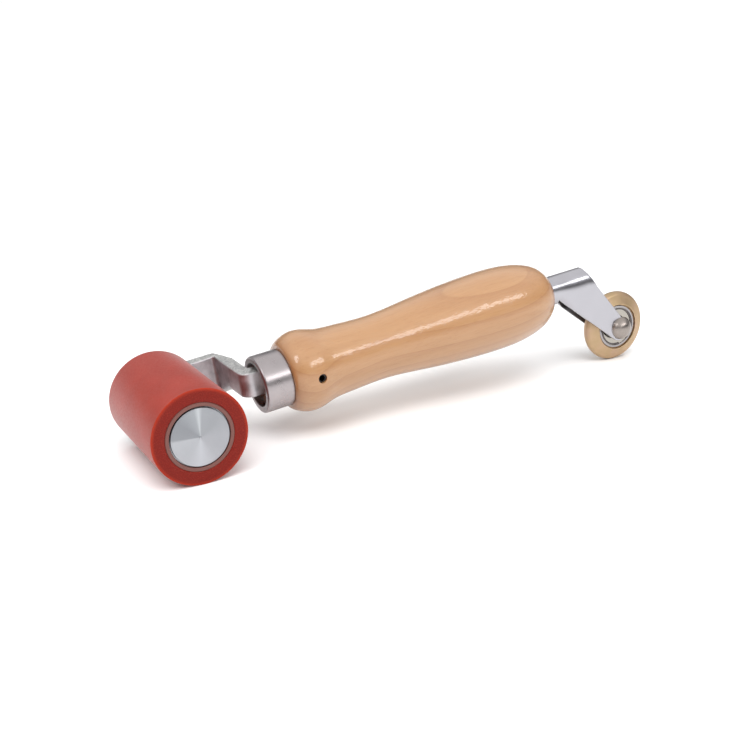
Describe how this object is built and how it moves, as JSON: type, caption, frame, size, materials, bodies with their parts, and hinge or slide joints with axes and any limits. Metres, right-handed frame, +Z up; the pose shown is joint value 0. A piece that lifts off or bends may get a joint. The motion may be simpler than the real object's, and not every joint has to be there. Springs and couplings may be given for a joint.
{
  "type": "seam roller",
  "caption": "Double-ended hand seam roller: red silicone press roller on a cranked steel arm, turned wooden handle and a brass penny wheel in a steel fork.",
  "frame": {"origin": "middle of the bounding box's footprint, on the surface that the two wheels stand on", "axes": "+X from the press roller to the penny wheel, +Y towards the cranked arm's side of the press roller, +Z up"},
  "size_m": [0.2338, 0.059, 0.0502],
  "materials": {
    "silicone": "satin",
    "core_steel": "satin",
    "turned_steel": "turned, bright",
    "cage_nylon": "satin",
    "ball_steel": "polished",
    "shield_steel": "bright",
    "spring_steel": "satin",
    "bearing_steel": "ground",
    "zinc_plate": "zinc plated, dull",
    "ferrule_steel": "polished",
    "varnished_wood": "clear gloss varnish",
    "bright_chrome": "polished",
    "brass": "turned, satin",
    "rivet_steel": "polished",
    "spacer_steel": "satin"
  },
  "bodies": {
    "frame": {"crank_arm": "zinc_plate", "ferrule": "ferrule_steel", "handle": "varnished_wood", "roll_pin": "spring_steel", "axle_stud": "rivet_steel", "axle_circlip": "spring_steel", "shim_washer": "spacer_steel", "bearing_spacer": "spacer_steel", "arm_spacer": "spacer_steel", "near_bearing_inner_ring": "bearing_steel", "far_bearing_inner_ring": "bearing_steel", "stem_fork": "bright_chrome", "penny_rivet": "rivet_steel", "penny_spacer_near": "spacer_steel", "penny_spacer_far": "spacer_steel", "penny_bearing_inner_ring": "bearing_steel"},
    "press_roller": {"silicone_sleeve": "silicone", "roller_core": "core_steel", "end_cap": "turned_steel", "near_bearing_outer_ring": "bearing_steel", "near_bearing_shield_near": "shield_steel", "near_bearing_shield_far": "shield_steel", "far_bearing_outer_ring": "bearing_steel", "far_bearing_shield_near": "shield_steel", "far_bearing_shield_far": "shield_steel"},
    "near_ball_set": {"near_bearing_balls": "ball_steel", "near_bearing_cage": "cage_nylon"},
    "far_ball_set": {"far_bearing_balls": "ball_steel", "far_bearing_cage": "cage_nylon"},
    "penny_wheel": {"penny_tyre": "brass", "penny_bearing_outer_ring": "bearing_steel", "penny_bearing_shield_near": "shield_steel", "penny_bearing_shield_far": "shield_steel", "penny_snap_ring_near": "spring_steel", "penny_snap_ring_far": "spring_steel"},
    "penny_ball_set": {"penny_bearing_balls": "ball_steel", "penny_bearing_cage": "cage_nylon"}
  },
  "joints": [
    {"name": "press_roller_spin", "type": "hinge", "parent": "frame", "child": "press_roller", "pos_m": [-0.09939, -0.0045, 0.0175], "axis": [0, 1, 0], "continuous": true},
    {"name": "penny_wheel_spin", "type": "hinge", "parent": "frame", "child": "penny_wheel", "pos_m": [0.10169, -0.00325, 0.0152], "axis": [0, 1, 0], "continuous": true},
    {"name": "near_ball_orbit", "type": "hinge", "parent": "frame", "child": "near_ball_set", "pos_m": [-0.09939, -0.0045, 0.0175], "axis": [0, 1, 0], "continuous": true},
    {"name": "far_ball_orbit", "type": "hinge", "parent": "frame", "child": "far_ball_set", "pos_m": [-0.09939, -0.0045, 0.0175], "axis": [0, 1, 0], "continuous": true},
    {"name": "penny_ball_orbit", "type": "hinge", "parent": "frame", "child": "penny_ball_set", "pos_m": [0.10169, -0.00325, 0.0152], "axis": [0, 1, 0], "continuous": true}
  ],
  "couplings": [
    {"joint": "near_ball_orbit", "follows": "press_roller_spin", "ratio": 0.6323},
    {"joint": "far_ball_orbit", "follows": "press_roller_spin", "ratio": 0.6323},
    {"joint": "penny_ball_orbit", "follows": "penny_wheel_spin", "ratio": 0.64}
  ]
}
